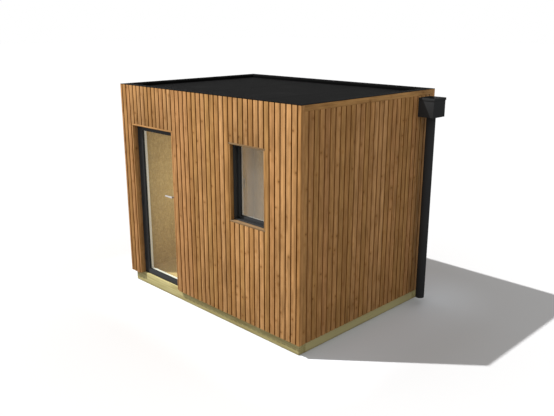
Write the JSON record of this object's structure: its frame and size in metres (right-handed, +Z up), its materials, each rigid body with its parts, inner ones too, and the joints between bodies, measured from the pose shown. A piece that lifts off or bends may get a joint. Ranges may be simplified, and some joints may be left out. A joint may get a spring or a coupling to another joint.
{
  "type": "garden studio",
  "caption": "Flat-roofed timber-clad garden studio with a glazed outward door, a casement window and a rainwater hopper with downpipe.",
  "frame": {"origin": "centre of the cladding's footprint at ground level, on the underside of the middle floor joist", "axes": "+X to the right along the front, the front faces -Y, +Z up"},
  "size_m": [3.17, 2.17, 2.5],
  "materials": {
    "cladding_wood": "oiled softwood boards, satin",
    "treated_timber": "pressure-treated, greenish, matte",
    "wall_lining": "plain plywood lining, matte",
    "roof_rubber": "black sheet membrane, matte",
    "frame_dark": "dark grey powder coat, satin",
    "bead_white": "white, smooth",
    "clear_glass": "clear, polished",
    "handle_metal": "satin",
    "rainwater_black": "black, smooth"
  },
  "bodies": {
    "building": {"base_long_bearers": "treated_timber", "base_end_bearers": "treated_timber", "floor_joists": "treated_timber", "floor_deck": "wall_lining", "front_wall_left": "wall_lining", "front_wall_middle": "wall_lining", "front_wall_right": "wall_lining", "front_wall_under_window": "wall_lining", "front_wall_header": "wall_lining", "back_wall": "wall_lining", "left_wall": "wall_lining", "right_wall": "wall_lining", "front_cladding_piers": "cladding_wood", "front_cladding_headers": "cladding_wood", "front_cladding_under_window": "cladding_wood", "back_cladding": "cladding_wood", "left_cladding": "cladding_wood", "right_cladding": "cladding_wood", "end_top_trims": "cladding_wood", "door_reveal_sides": "cladding_wood", "door_reveal_head": "cladding_wood", "window_reveal_sides": "cladding_wood", "window_reveal_head_and_sill": "cladding_wood", "roof_deck": "wall_lining", "roof_membrane": "roof_rubber", "long_parapets": "roof_rubber", "end_parapets": "roof_rubber", "door_frame_jambs": "frame_dark", "door_frame_head": "frame_dark", "door_threshold": "frame_dark", "door_hinge_frame_halves": "frame_dark", "window_frame_jambs": "frame_dark", "window_frame_rails": "frame_dark", "window_sash_stiles": "frame_dark", "window_sash_rails": "frame_dark", "window_glass": "clear_glass", "window_glazing_beads": "bead_white", "window_handle": "frame_dark", "hopper": "rainwater_black", "downpipe": "rainwater_black"},
    "door": {"door_stiles": "frame_dark", "door_rails": "frame_dark", "door_glass": "clear_glass", "door_glazing_beads": "bead_white", "door_hinge_leaf_halves": "frame_dark", "door_handle_plates": "handle_metal"},
    "lever": {"door_lever": "handle_metal"}
  },
  "joints": [
    {"name": "door_hinge", "type": "hinge", "parent": "building", "child": "door", "pos_m": [-1.238, -1.025, 1.1], "axis": [0, 0, -1], "range_deg": [0, 95]},
    {"name": "handle_turn", "type": "hinge", "parent": "door", "child": "lever", "pos_m": [-0.566, -0.986, 1.26], "axis": [0, -1, 0], "range_deg": [0, 40], "stiffness_Nm_per_rad": 1.5, "springref_deg": -34.38}
  ]
}
